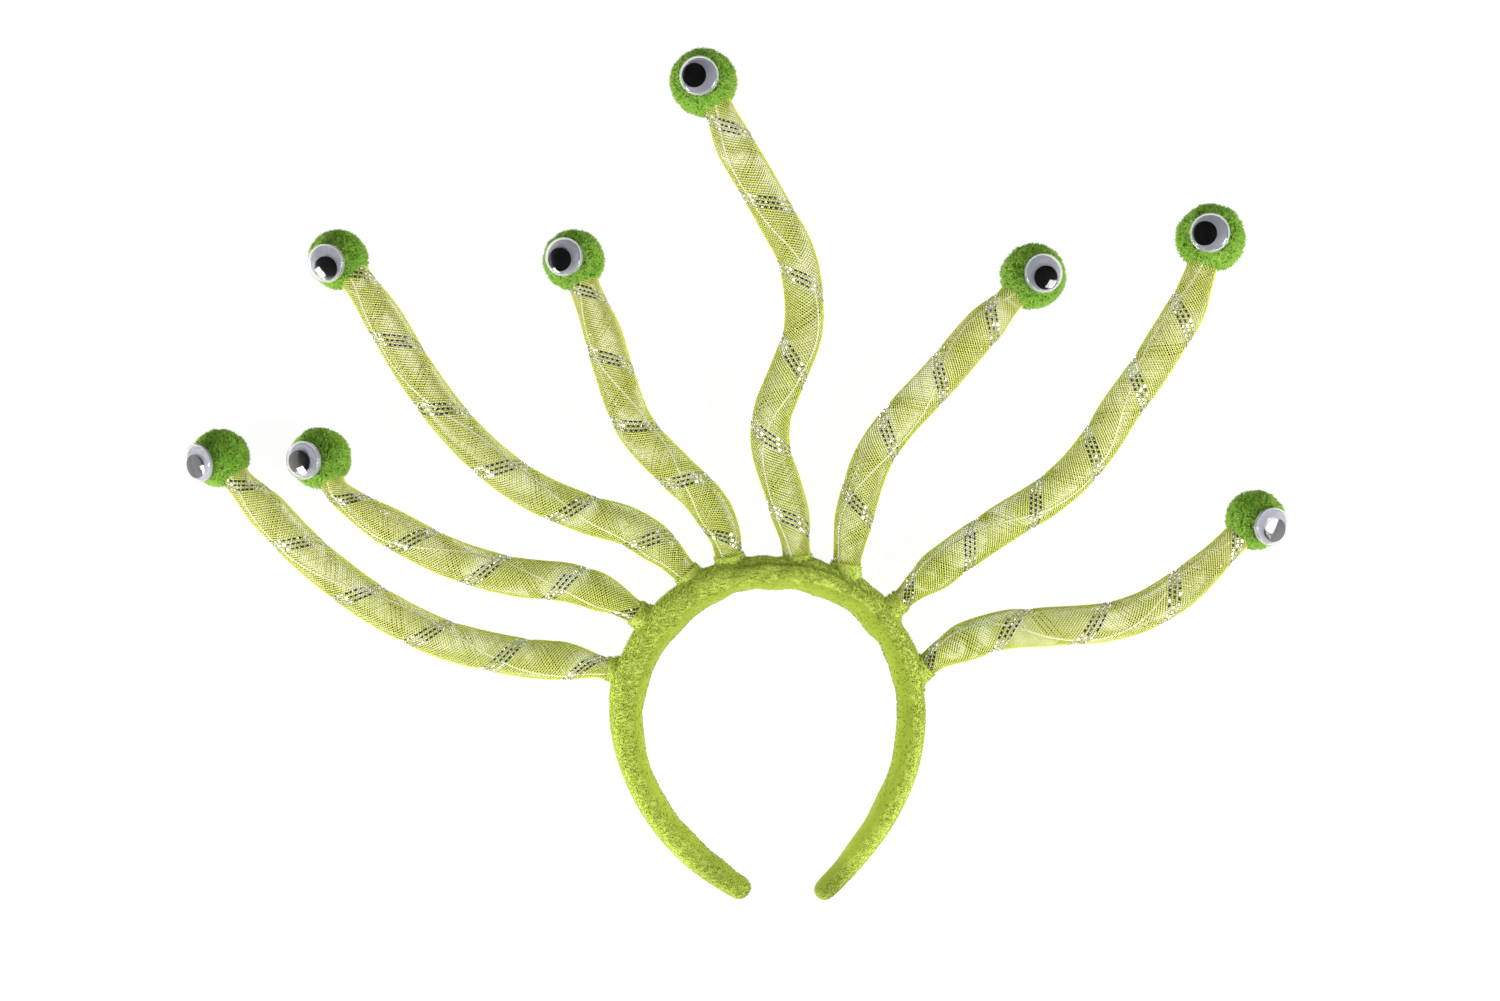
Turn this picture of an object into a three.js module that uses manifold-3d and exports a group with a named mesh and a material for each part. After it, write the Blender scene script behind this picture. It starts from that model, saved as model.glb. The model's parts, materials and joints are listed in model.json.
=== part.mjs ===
// Costume headband with eight googly-eyed stalks, lying on its back edge.
// Millimetres: X to the right, Y from the band's open tips towards the stalks, Z up from the surface it lies on.
import * as THREE from "three";
import { mergeVertices } from "three/addons/utils/BufferGeometryUtils.js";
import Module from "manifold-3d";

const wasm = await Module();
wasm.setup();

// Clearance between pieces that touch on the real object
const GAP = 0.3;

// Plush band: a padded roll bent to go over a head, in sections seen from the band's centre.
// reach: from that centre to the middle of the roll. thick: in the band's plane. deep: along Z.
const BAND_CENTRE = new THREE.Vector3(16, -112, 0);
const BAND_SECTIONS = [
  { deg: -72, reach: 84.8, thick: 12.2, deep: 15 },
  { deg: -58, reach: 76.2, thick: 13.8, deep: 17 },
  { deg: -40, reach: 70.1, thick: 15.4, deep: 20 },
  { deg: -18, reach: 67.4, thick: 15.8, deep: 22 },
  { deg: 6, reach: 67.2, thick: 16.0, deep: 23 },
  { deg: 28, reach: 69.2, thick: 16.6, deep: 24 },
  { deg: 50, reach: 71.2, thick: 18.0, deep: 25 },
  { deg: 72, reach: 70.0, thick: 18.0, deep: 25 },
  { deg: 92, reach: 68.9, thick: 17.9, deep: 25 },
  { deg: 114, reach: 68.8, thick: 19.0, deep: 25 },
  { deg: 136, reach: 67.8, thick: 19.0, deep: 24 },
  { deg: 158, reach: 67.2, thick: 19.4, deep: 24 },
  { deg: 178, reach: 67.1, thick: 18.4, deep: 23 },
  { deg: 200, reach: 66.8, thick: 16.4, deep: 22 },
  { deg: 222, reach: 68.6, thick: 16.0, deep: 20 },
  { deg: 240, reach: 72.4, thick: 15.9, deep: 19 },
  { deg: 252, reach: 76.6, thick: 14.8, deep: 17 },
  { deg: 260, reach: 81.0, thick: 13.4, deep: 15 },
];
const BAND_STEPS = 51;
const BAND_SIDES = 12;
const BAND_SQUARENESS = 2.4; // power of the section's superellipse
const TIP_LENGTH = 6;
const TIP_RINGS_DEG = [60, 30];
// Gathers in the cover on the band's inner side
const GATHER_DEPTH = 0.8;
const GATHERS = 15;

// Net tubes: a wall of braided net, drawn in to a foot at the band and a neck at the pompom
const NET_ACROSS = 18.4;
const FOOT_TAPER = 22;
const NET_WALL = 1;
const NET_SIDES = 8;
const NET_STEP = 16;

// Wire inside each tube: the net hangs on it, and it wanders from side to side under the net's top
const WIRE_ACROSS = 1.2;
const WIRE_SIDES = 5;
const WIRE_SWING_DEG = 50;
const WIRE_WAVES = 1.5;

// Pompoms: locks of yarn, one on each face of a ball
const LOCK_ROOT = 0.9; // share of the pompom's radius where the locks part
const LOCK_SPREAD = 0.05; // how much shorter than the rest the shortest locks are
const LOCK_PHASE = 2.4;
const SOCKET_DEPTH = 5;
const SOCKET_ROOM = 0.7;
const SOCKET_SIDES = 10;

// Googly eyes, measured from the seat in the pompom along the eye's own axis
const EYE_SIDES = 12;
const EYE_SINK = 2.4; // from the pompom's round to the seat
const DOME_ACROSS = 18;
const DOME_WALL = 0.6;
const DOME_SKIRT = 2.4;
const DOME_HEIGHT = 5.2;
const DOME_OUTER_RINGS_DEG = [30, 60];
const DOME_INNER_RINGS_DEG = [45];
const BACK_THICK = 1;
const PUPIL_ACROSS = 11;
const PUPIL_THICK = 0.9;
const PUPIL_OFF_CENTRE = 2.3;

// Stalks, from the lowest on the left over the top to the lowest on the right.
// lift: the pompom's height above the surface. leanX, leanY: where the eye faces, as parts of a unit vector.
// pupilDeg: the side of the eye that the loose pupil has slid to. tube: its width at the band and at the
// pompom, and the length over which it narrows to the pompom. route: the tube's middle, from the band out.
const STALKS = [
  {
    pompom: { x: -242.3, y: 11.2, across: 28.2, lift: 0 },
    eye: { leanX: -0.6, leanY: -0.2, pupilDeg: 221 },
    tube: { foot: 10.5, neck: 13.2, taper: 20 },
    route: [
      { x: -61, y: -87.5, z: 12 },
      { x: -75, y: -85, z: 13 },
      { x: -103.5, y: -82, z: 14 },
      { x: -139, y: -73, z: 15 },
      { x: -171.5, y: -56, z: 15 },
      { x: -201, y: -33, z: 15 },
      { x: -220.5, y: -13, z: 14.5 },
      { x: -233, y: 0, z: 14 },
    ],
  },
  {
    pompom: { x: -195, y: 11.2, across: 29.6, lift: 0 },
    eye: { leanX: -0.39, leanY: -0.09, pupilDeg: 202 },
    tube: { foot: 11.5, neck: 11.8, taper: 38 },
    route: [
      { x: -47.5, y: -61, z: 12.5 },
      { x: -58, y: -54.5, z: 13.5 },
      { x: -75, y: -48, z: 15 },
      { x: -103, y: -44.5, z: 17 },
      { x: -130, y: -37, z: 18 },
      { x: -155, y: -25, z: 17 },
      { x: -171.5, y: -15.5, z: 16 },
      { x: -187, y: -4, z: 15 },
    ],
  },
  {
    pompom: { x: -186.6, y: 104.7, across: 28.7, lift: 0 },
    eye: { leanX: -0.25, leanY: -0.23, pupilDeg: 266 },
    tube: { foot: 12, neck: 15, taper: 25 },
    route: [
      { x: -24, y: -42, z: 12.5 },
      { x: -34, y: -31.5, z: 14 },
      { x: -50, y: -21, z: 16 },
      { x: -68, y: -15.5, z: 18 },
      { x: -93, y: -5, z: 19 },
      { x: -114.5, y: 10, z: 19 },
      { x: -134, y: 30, z: 18 },
      { x: -150.5, y: 52.5, z: 16.5 },
      { x: -165, y: 76.5, z: 15 },
      { x: -176, y: 93, z: 14.5 },
    ],
  },
  {
    pompom: { x: -75.8, y: 104.2, across: 29.6, lift: 0 },
    eye: { leanX: -0.25, leanY: 0.01, pupilDeg: 210 },
    tube: { foot: 13.3, neck: 14.6, taper: 28 },
    route: [
      { x: -3, y: -33.5, z: 12.5 },
      { x: -5, y: -24.5, z: 13.5 },
      { x: -14.5, y: -8, z: 15 },
      { x: -28, y: 5, z: 17 },
      { x: -47, y: 26.5, z: 18 },
      { x: -57, y: 53, z: 17 },
      { x: -62.5, y: 71, z: 16 },
      { x: -70, y: 90, z: 15 },
    ],
  },
  {
    pompom: { x: -14.4, y: 184, across: 31.8, lift: 20 },
    eye: { leanX: -0.11, leanY: 0.02, pupilDeg: 172 },
    tube: { foot: 13, neck: 14.1, taper: 18 },
    route: [
      { x: 29, y: -33.5, z: 12.5 },
      { x: 27.5, y: -22, z: 13.5 },
      { x: 22.5, y: -3, z: 15 },
      { x: 17, y: 15, z: 17 },
      { x: 17, y: 30, z: 18.5 },
      { x: 25, y: 51, z: 21 },
      { x: 31.5, y: 69, z: 23 },
      { x: 32, y: 87.5, z: 25 },
      { x: 28, y: 106, z: 27 },
      { x: 19.5, y: 122, z: 29.5 },
      { x: 10.5, y: 137.5, z: 32 },
      { x: 1, y: 153.5, z: 34.5 },
      { x: -6.8, y: 170.3, z: 35.5 },
    ],
  },
  {
    pompom: { x: 138.6, y: 95.4, across: 31.1, lift: 12 },
    eye: { leanX: 0.2, leanY: 0, pupilDeg: 301 },
    tube: { foot: 13.5, neck: 13.2, taper: 18 },
    route: [
      { x: 52.5, y: -37, z: 12.5 },
      { x: 54.5, y: -25, z: 13.5 },
      { x: 58.5, y: -6.5, z: 15 },
      { x: 65, y: 11.5, z: 17 },
      { x: 75.5, y: 27, z: 19 },
      { x: 94.5, y: 47.5, z: 22.5 },
      { x: 112, y: 68, z: 25.5 },
      { x: 127, y: 84, z: 27.5 },
    ],
  },
  {
    pompom: { x: 218.5, y: 111.7, across: 32.6, lift: 24 },
    eye: { leanX: -0.21, leanY: 0.04, pupilDeg: 183 },
    tube: { foot: 10, neck: 14.1, taper: 22 },
    route: [
      { x: 79, y: -55, z: 12.5 },
      { x: 86, y: -48.5, z: 13 },
      { x: 98, y: -39, z: 15 },
      { x: 113, y: -28, z: 17 },
      { x: 128, y: -18, z: 19 },
      { x: 144, y: -8, z: 22 },
      { x: 158, y: 4, z: 25 },
      { x: 169, y: 18, z: 28 },
      { x: 178.5, y: 33.5, z: 31 },
      { x: 189, y: 48.5, z: 34 },
      { x: 198.5, y: 64, z: 37 },
      { x: 207.5, y: 79.5, z: 39 },
      { x: 214, y: 97, z: 40 },
    ],
  },
  {
    pompom: { x: 244.8, y: -17.9, across: 28.7, lift: 0 },
    eye: { leanX: 0.38, leanY: -0.22, pupilDeg: 311 },
    tube: { foot: 11, neck: 13.2, taper: 38 },
    route: [
      { x: 91, y: -85.5, z: 12 },
      { x: 97, y: -81, z: 13 },
      { x: 108.5, y: -75, z: 15 },
      { x: 126.5, y: -69.5, z: 16.5 },
      { x: 145.5, y: -68, z: 17 },
      { x: 172.5, y: -66, z: 17 },
      { x: 191, y: -61, z: 16.5 },
      { x: 206, y: -52.5, z: 16 },
      { x: 220, y: -41.5, z: 15 },
      { x: 234, y: -28, z: 14.5 },
    ],
  },
];

const radians = THREE.MathUtils.degToRad;

// Helpers between three.js geometry and solids that can be cut

function positionsOnly(geometry) {
  const bare = new THREE.BufferGeometry();
  bare.setAttribute("position", geometry.getAttribute("position"));
  bare.setIndex(geometry.getIndex());
  return mergeVertices(bare);
}

function solidFrom(geometry) {
  const bare = positionsOnly(geometry);
  const vertProperties = new Float32Array(bare.getAttribute("position").array);
  const triVerts = new Uint32Array(bare.getIndex().array);
  return new wasm.Manifold(new wasm.Mesh({ numProp: 3, vertProperties, triVerts }));
}

function geometryFrom(solid) {
  const { vertProperties, triVerts } = solid.getMesh();
  const geometry = new THREE.BufferGeometry();
  geometry.setAttribute("position", new THREE.BufferAttribute(vertProperties, 3));
  geometry.setIndex(new THREE.BufferAttribute(triVerts, 1));
  geometry.computeVertexNormals();
  return geometry;
}

// Moves every vertex of a straight lathe, given as across, height and depth, to its place on a bent form
function bend(lathe, place) {
  const position = lathe.getAttribute("position");
  for (let i = 0; i < position.count; i += 1) {
    const { x, y, z } = place(position.getX(i), Math.round(position.getY(i)), position.getZ(i));
    position.setXYZ(i, x, y, z);
  }
  lathe.computeVertexNormals();
  return lathe;
}

// Plush band

function superellipse(share) {
  return Math.sign(share) * Math.abs(share) ** (2 / BAND_SQUARENESS);
}

function bandPoint(section) {
  const turn = radians(section.deg);
  return new THREE.Vector3(Math.cos(turn), Math.sin(turn), 0)
    .multiplyScalar(section.reach)
    .add(BAND_CENTRE);
}

const bandLine = new THREE.CatmullRomCurve3(BAND_SECTIONS.map(bandPoint));
const bandSizes = new THREE.CatmullRomCurve3(
  BAND_SECTIONS.map(({ thick, deep }) => new THREE.Vector3(thick, deep, 0)),
);

// Rings of the roll from tip to tip: the place on the line, how far beyond its end, and the share of full size
function bandRings() {
  const tip = (at, side) => (deg) => ({
    at,
    beyond: side * TIP_LENGTH * Math.sin(radians(deg)),
    size: Math.cos(radians(deg)),
  });
  const along = Array.from({ length: BAND_STEPS + 1 }, (_, i) => ({ at: i / BAND_STEPS, beyond: 0, size: 1 }));
  return [
    { at: 0, beyond: -TIP_LENGTH, size: 0 },
    ...TIP_RINGS_DEG.map(tip(0, -1)),
    ...along,
    ...TIP_RINGS_DEG.toReversed().map(tip(1, 1)),
    { at: 1, beyond: TIP_LENGTH, size: 0 },
  ];
}

// The roll, grown by a margin all round; each section has a flat underside on the same plane
function bandGeometry(margin) {
  const rings = bandRings();
  const profile = rings.map(({ size }, i) => new THREE.Vector2(size, i));
  const halfSide = Math.PI / BAND_SIDES;
  const lathe = new THREE.LatheGeometry(profile, BAND_SIDES, halfSide);
  const lowest = -superellipse(Math.cos(halfSide));
  return bend(lathe, (across, ring, depth) => {
    const { at, beyond, size } = rings[ring];
    const { x: thick, y: deep } = bandSizes.getPoint(at);
    const tangent = bandLine.getTangent(at);
    const outward = new THREE.Vector3(tangent.y, -tangent.x, 0);
    const share = size || 1;
    const reach = superellipse(across / share) * size;
    const height = superellipse(depth / share) * size;
    const gather = GATHER_DEPTH * (0.5 - 0.5 * Math.cos(2 * Math.PI * GATHERS * at));
    const inner = Math.max(0, -reach) * gather;
    return bandLine
      .getPoint(at)
      .addScaledVector(tangent, beyond + Math.sign(beyond) * margin * (1 - size))
      .addScaledVector(outward, reach * (thick / 2 + margin) + inner)
      .setZ((-lowest * deep) / 2 + height * (deep / 2 + margin));
  });
}

const bandSkin = solidFrom(bandGeometry(GAP));

// Stalks: the framed route that the net and the wire follow

function stalkLine({ route, tube }, ball) {
  const rows = route.map(({ x, y, z }) => new THREE.Vector3(x, y, z));
  const root = rows[0].clone().lerp(rows[1], -1.2);
  const inward = rows.at(-1).clone().sub(ball.centre).normalize();
  const seat = ball.centre.clone().addScaledVector(inward, ball.radius - SOCKET_DEPTH);
  const curve = new THREE.CatmullRomCurve3([root, ...rows, seat], false, "centripetal");
  const length = curve.getLength();
  const steps = Math.round(length / NET_STEP);
  const rootLength = rows[0].distanceTo(root);
  const { lerp, smoothstep } = THREE.MathUtils;
  const radius = (i) => {
    const from = (i / steps) * length;
    const atFoot = lerp(tube.foot, NET_ACROSS, smoothstep(from - rootLength, 0, FOOT_TAPER));
    const atNeck = lerp(tube.neck, NET_ACROSS, smoothstep(length - from - SOCKET_DEPTH, 0, tube.taper));
    return Math.min(atFoot, atNeck) / 2;
  };
  return { curve, steps, inward, seat, radius, neck: tube.neck, frames: curve.computeFrenetFrames(steps) };
}

// A place beside the route: across and depth lie in the plane square to it
function beside({ curve, steps, frames }, across, step, depth) {
  return curve
    .getPointAt(step / steps)
    .addScaledVector(frames.binormals[step], across)
    .addScaledVector(frames.normals[step], depth);
}

function netGeometry(line) {
  const up = Array.from({ length: line.steps + 1 }, (_, i) => i);
  const outside = up.map((i) => new THREE.Vector2(line.radius(i), i));
  const inside = up.map((i) => new THREE.Vector2(line.radius(i) - NET_WALL, i)).reverse();
  const lathe = new THREE.LatheGeometry([...outside, ...inside, outside[0]], NET_SIDES);
  return bend(lathe, (across, step, depth) => beside(line, across, step, depth));
}

function wireGeometry(line) {
  const up = Array.from({ length: line.steps + 1 }, (_, i) => new THREE.Vector2(WIRE_ACROSS / 2, i));
  const ends = [new THREE.Vector2(0, 0), ...up, new THREE.Vector2(0, line.steps)];
  const lathe = new THREE.LatheGeometry(ends, WIRE_SIDES);
  return bend(lathe, (across, step, depth) => {
    const boreFlat = (line.radius(step) - NET_WALL) * Math.cos(Math.PI / NET_SIDES);
    const off = boreFlat - GAP - WIRE_ACROSS / 2;
    const swing = radians(WIRE_SWING_DEG) * Math.sin((2 * Math.PI * WIRE_WAVES * step) / line.steps);
    return beside(line, across + off * Math.sin(swing), step, depth - off * Math.cos(swing));
  });
}

// Pompoms

function lockBall(radius) {
  const ball = new THREE.IcosahedronGeometry(radius * LOCK_ROOT, 1);
  const corners = ball.getAttribute("position");
  const points = [];
  for (let face = 0; face < corners.count; face += 3) {
    const [a, b, c] = [0, 1, 2].map((k) => new THREE.Vector3().fromBufferAttribute(corners, face + k));
    const shorter = LOCK_SPREAD * (0.5 + 0.5 * Math.cos(LOCK_PHASE * face));
    const tip = a.clone().add(b).add(c).setLength(radius * (1 - shorter));
    points.push(a, b, tip, b, c, tip, c, a, tip);
  }
  return new THREE.BufferGeometry().setFromPoints(points);
}

function pompomBall({ pompom }) {
  const radius = pompom.across / 2;
  const locks = lockBall(radius);
  locks.computeBoundingBox();
  const height = pompom.lift - locks.boundingBox.min.z;
  const centre = new THREE.Vector3(pompom.x, pompom.y, height);
  return { radius, centre, locks: locks.translate(centre.x, centre.y, centre.z) };
}

// A solid cylinder that starts at a point and runs along a direction
function plug(start, direction, radius, length, sides) {
  const cylinder = new THREE.CylinderGeometry(radius, radius, length, sides);
  cylinder.translate(0, length / 2, 0);
  cylinder.applyQuaternion(new THREE.Quaternion().setFromUnitVectors(new THREE.Vector3(0, 1, 0), direction));
  cylinder.translate(start.x, start.y, start.z);
  return solidFrom(cylinder);
}

function pompomGeometry(ball, line, facing) {
  const socketRadius = line.neck / 2 + SOCKET_ROOM;
  const socketFloor = line.seat.clone().addScaledVector(line.inward, -GAP);
  const socket = plug(socketFloor, line.inward, socketRadius, ball.radius, SOCKET_SIDES);
  const seatFloor = ball.centre.clone().addScaledVector(facing, ball.radius - EYE_SINK - GAP);
  const eyeSeat = plug(seatFloor, facing, DOME_ACROSS / 2 + GAP, ball.radius, EYE_SIDES);
  return geometryFrom(solidFrom(ball.locks).subtract(socket).subtract(eyeSeat));
}

// Googly eyes

function domeGeometry() {
  const shell = (radius, height, ringsDeg) => [
    new THREE.Vector2(radius, 0),
    new THREE.Vector2(radius, DOME_SKIRT),
    ...ringsDeg.map((deg) => new THREE.Vector2(
      radius * Math.cos(radians(deg)),
      DOME_SKIRT + (height - DOME_SKIRT) * Math.sin(radians(deg)),
    )),
    new THREE.Vector2(0, height),
  ];
  const boreRadius = DOME_ACROSS / 2 - DOME_WALL;
  const outside = shell(DOME_ACROSS / 2, DOME_HEIGHT, DOME_OUTER_RINGS_DEG);
  const inside = shell(boreRadius, DOME_HEIGHT - DOME_WALL, DOME_INNER_RINGS_DEG).reverse();
  return new THREE.LatheGeometry([...outside, ...inside, outside[0]], EYE_SIDES).rotateX(Math.PI / 2);
}

function discGeometry(across, thick) {
  return new THREE.CylinderGeometry(across / 2, across / 2, thick, EYE_SIDES)
    .translate(0, thick / 2, 0)
    .rotateX(Math.PI / 2);
}

// Materials

function finish(color, roughness, metalness = 0) {
  return new THREE.MeshStandardMaterial({ color, roughness, metalness });
}

function named(name, geometry, material) {
  const mesh = new THREE.Mesh(geometry, material);
  mesh.name = name;
  return mesh;
}

function clearPlastic() {
  const clear = finish("#f4f6f2", 0.05);
  clear.transparent = true;
  clear.opacity = 0.25;
  return clear;
}

// Assembly

function eye(number, ball, facing, pupilDeg) {
  const group = new THREE.Group();
  group.position.copy(ball.centre).addScaledVector(facing, ball.radius - EYE_SINK);
  group.quaternion.setFromUnitVectors(new THREE.Vector3(0, 0, 1), facing);
  const backAcross = DOME_ACROSS - 2 * (DOME_WALL + GAP);
  const back = named(`eye_back_${number}`, discGeometry(backAcross, BACK_THICK), finish("#f5f4f0", 0.4));
  const pupil = named(`eye_pupil_${number}`, discGeometry(PUPIL_ACROSS, PUPIL_THICK), finish("#0b0b0c", 0.25));
  pupil.position.set(
    PUPIL_OFF_CENTRE * Math.cos(radians(pupilDeg)),
    PUPIL_OFF_CENTRE * Math.sin(radians(pupilDeg)),
    BACK_THICK + GAP,
  );
  const dome = named(`eye_dome_${number}`, domeGeometry(), clearPlastic());
  return group.add(back, pupil, dome);
}

function stalk(row, index) {
  const number = index + 1;
  const { leanX, leanY, pupilDeg } = row.eye;
  const facing = new THREE.Vector3(leanX, leanY, Math.sqrt(1 - leanX ** 2 - leanY ** 2));
  const ball = pompomBall(row);
  const line = stalkLine(row, ball);
  const net = geometryFrom(solidFrom(netGeometry(line)).subtract(bandSkin));
  const wire = geometryFrom(solidFrom(wireGeometry(line)).subtract(bandSkin));
  return new THREE.Group().add(
    named(`stalk_net_${number}`, net, finish("#c8cf72", 0.45)),
    named(`stalk_wire_${number}`, wire, finish("#d9dad6", 0.3, 0.9)),
    named(`pompom_${number}`, pompomGeometry(ball, line, facing), finish("#6ea836", 0.95)),
    eye(number, ball, facing, pupilDeg),
  );
}

const headband = new THREE.Group();
headband.add(named("plush_band", bandGeometry(0), finish("#aacb46", 0.95)));
headband.add(...STALKS.map(stalk));

export default headband;
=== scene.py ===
import json
import math

import bmesh
import bpy
import numpy as np
from mathutils import Matrix, Vector


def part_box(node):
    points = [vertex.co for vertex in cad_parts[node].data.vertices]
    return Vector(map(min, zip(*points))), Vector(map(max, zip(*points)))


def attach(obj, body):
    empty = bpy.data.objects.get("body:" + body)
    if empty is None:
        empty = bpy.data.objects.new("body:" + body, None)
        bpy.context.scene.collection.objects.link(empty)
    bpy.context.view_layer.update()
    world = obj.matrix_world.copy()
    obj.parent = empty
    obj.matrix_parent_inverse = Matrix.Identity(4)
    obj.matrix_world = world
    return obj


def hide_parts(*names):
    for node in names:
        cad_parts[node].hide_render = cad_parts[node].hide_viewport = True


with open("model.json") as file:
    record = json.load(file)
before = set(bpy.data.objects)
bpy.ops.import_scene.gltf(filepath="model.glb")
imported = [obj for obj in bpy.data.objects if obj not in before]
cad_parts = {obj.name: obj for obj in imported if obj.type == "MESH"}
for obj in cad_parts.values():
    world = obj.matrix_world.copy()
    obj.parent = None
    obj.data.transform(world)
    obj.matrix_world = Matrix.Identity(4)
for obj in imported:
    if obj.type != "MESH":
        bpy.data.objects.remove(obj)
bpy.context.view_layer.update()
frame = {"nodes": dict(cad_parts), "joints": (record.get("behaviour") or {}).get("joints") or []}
MM = 0.001

# Plush band
# A springy hoop wrapped in short-pile lime plush, seamed along the outer edge where the stalks come out.
# The pile lies smooth on the side that meets the hair, most of all on the right, and down the outside of
# the legs. It stands up on the rest, least on the legs.
BAND_CENTRE = np.array([16, -112, 0]) * MM
WELD_WITHIN = 0.01 * MM
JOIN_FACE_DEG, JOIN_SHAPE_DEG = 50, 80
COVER_SMOOTHING = 2
COVER_INSET = 0.9 * MM
COVER_LUMP, LUMP_SIZE, LUMP_SEED = 0.5 * MM, 18 * MM, 3
LEGS_END, LUMPS_START = -0.3, 0.5
SEAM_DEPTH = 1 * MM
SEAM_FROM_DEG, SEAM_TO_DEG, SEAM_FADE_DEG = 48, 140, 6
SEAM_LEAN_DEG, SEAM_WIDTH_DEG = 40, 11
SEAM_FAINT, FAINT_FROM_DEG, FAINT_TO_DEG = 0.35, 92, 104
SEAM_CROPPED = 0.6
INNER_EDGE, INNER_WIDER = 0.28, 0.5
OUTER_EDGE = 0.35
EDGE_FADE, EDGE_STRAY, EDGE_SEED = 0.2, 0.08, 5
# Painted shade at the band's tips, strongest on the right tip.
TIP_SHADE, RIGHT_TIP_SHADE = 0.4, 1.0
TIPS_FROM, TIPS_TO = 0.84, 0.95
PILE_FIBRES, PILE_SEED = 58000, 11
PILE_RADIUS = 0.24 * MM
STANDING_LENGTH, BRUSHED_LENGTH = 1.3 * MM, 0.9 * MM
SHORTEST, LONGEST = 0.7, 1.1
PILE_SWAY, PILE_LEAN, PILE_STRAY = 0.3, 0.3, 0.15
BRUSHED_RISE, BRUSHED_STRAY = 0.2, 0.05
CLUMP_SIZE, CLUMP_SEEDS = 1.6 * MM, (6, 7)
SMOOTH_BARE = 0.85
LEGS_BRUSHED = 0.55
FLECK_SIZE, SHADE_SIZE = 0.9 * MM, 14 * MM
SPIKE_POINTS = 4
FLOOR_CLEARANCE = 0.1 * MM


def unit(vectors):
    """Rows scaled to length 1."""
    return vectors / np.linalg.norm(vectors, axis=-1, keepdims=True)


def ease(value, low, high):
    """0 below low, 1 above high, smooth between."""
    share = np.clip((value - low) / (high - low), 0, 1)
    return share * share * (3 - 2 * share)


def clear_floor(points):
    """Lifts any point that lies too low to just above the floor."""
    points[:, 2] = np.maximum(points[:, 2], FLOOR_CLEARANCE)


def mottle(points, patch, seed):
    """A smooth random field, mostly from -1 to 1, whose patches are about the given size."""
    waves = 24
    draw = np.random.default_rng(seed)
    turns = draw.normal(size=(waves, 3)) * math.pi / patch
    phases = draw.uniform(0, 2 * math.pi, waves)
    total = np.zeros(len(points))
    for turn, phase in zip(turns, phases):
        total += np.sin(points @ turn + phase)
    return total * math.sqrt(2 / waves)


def joined_mesh(name, points, *face_groups):
    """One mesh from points and one or more arrays of faces, each with its own number of corners."""
    corners = np.concatenate([group.ravel() for group in face_groups])
    sizes = np.concatenate([np.full(len(group), group.shape[1]) for group in face_groups])
    mesh = bpy.data.meshes.new(name)
    mesh.vertices.add(len(points))
    mesh.vertices.foreach_set("co", points.astype(np.float32).ravel())
    mesh.loops.add(len(corners))
    mesh.loops.foreach_set("vertex_index", corners.astype(np.int32))
    mesh.polygons.add(len(sizes))
    mesh.polygons.foreach_set("loop_start", (np.cumsum(sizes) - sizes).astype(np.int32))
    mesh.update(calc_edges=True)
    mesh.shade_smooth()
    return mesh


def paint(mesh, name, values):
    """One number for each vertex, for a material to read."""
    layer = mesh.attributes.new(name, "FLOAT", "POINT")
    layer.data.foreach_set("value", values.astype(np.float32))


def fibres(name, roots, tips, radius, draw):
    """A closed slim spike for each root and tip, with pile 0 at the root and 1 at the tip."""
    along = unit(tips - roots)
    helper = unit(draw.normal(size=roots.shape))
    side = unit(np.cross(along, helper))
    other = np.cross(along, side)
    ring = [math.radians(deg) for deg in (0, 120, 240)]
    base = [roots + radius * (math.cos(turn) * side + math.sin(turn) * other) for turn in ring]
    points = np.stack([*base, tips], axis=1).reshape(-1, 3)
    clear_floor(points)
    spike = np.array([(0, 1, 3), (1, 2, 3), (2, 0, 3), (0, 2, 1)])
    faces = (SPIKE_POINTS * np.arange(len(roots))[:, None, None] + spike).reshape(-1, 3)
    mesh = joined_mesh(name, points, faces)
    paint(mesh, "pile", np.tile([0, 0, 0, 1], len(roots)))
    return mesh


def scatter(mesh, count, draw):
    """Places spread evenly over a mesh at random, and the smooth normals there."""
    mesh.calc_loop_triangles()
    corners = np.empty(3 * len(mesh.loop_triangles), np.int32)
    mesh.loop_triangles.foreach_get("vertices", corners)
    corners = corners.reshape(-1, 3)
    points, normals = vertex_arrays(mesh)
    a, b, c = (points[corners[:, k]] for k in range(3))
    areas = np.linalg.norm(np.cross(b - a, c - a), axis=1)
    chosen = draw.choice(len(corners), count, p=areas / areas.sum())
    share = np.sort(draw.uniform(size=(count, 2)), axis=1)
    weights = np.stack([share[:, 0], share[:, 1] - share[:, 0], 1 - share[:, 1]], axis=1)[..., None]
    places = (points[corners[chosen]] * weights).sum(axis=1)
    facing = unit((normals[corners[chosen]] * weights).sum(axis=1))
    return places, facing


def vertex_arrays(mesh):
    """A mesh's points and vertex normals."""
    points = np.empty(3 * len(mesh.vertices), np.float32)
    normals = np.empty_like(points)
    mesh.vertices.foreach_get("co", points)
    mesh.vertices.foreach_get("normal", normals)
    return points.reshape(-1, 3).astype(float), normals.reshape(-1, 3).astype(float)


def placed(name, mesh, finish, body):
    """An object for a finished mesh, riding a body and taking a slot's finish."""
    piece = bpy.data.objects.new(name, mesh)
    bpy.context.scene.collection.objects.link(piece)
    mesh.materials.clear()
    mesh.materials.append(finish)
    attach(piece, body)
    return piece


def tint(red, green, blue):
    """A display colour from 0 to 255 as the linear colour that a shader takes."""
    shares = [channel / 255 for channel in (red, green, blue)]
    linear = [s / 12.92 if s <= 0.04045 else ((s + 0.055) / 1.055) ** 2.4 for s in shares]
    return (*linear, 1)


def new_finish(name):
    """A fresh material, its node tree and its shader."""
    finish = bpy.data.materials.new(name)
    finish.use_nodes = True
    return finish, finish.node_tree, finish.node_tree.nodes["Principled BSDF"]


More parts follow.
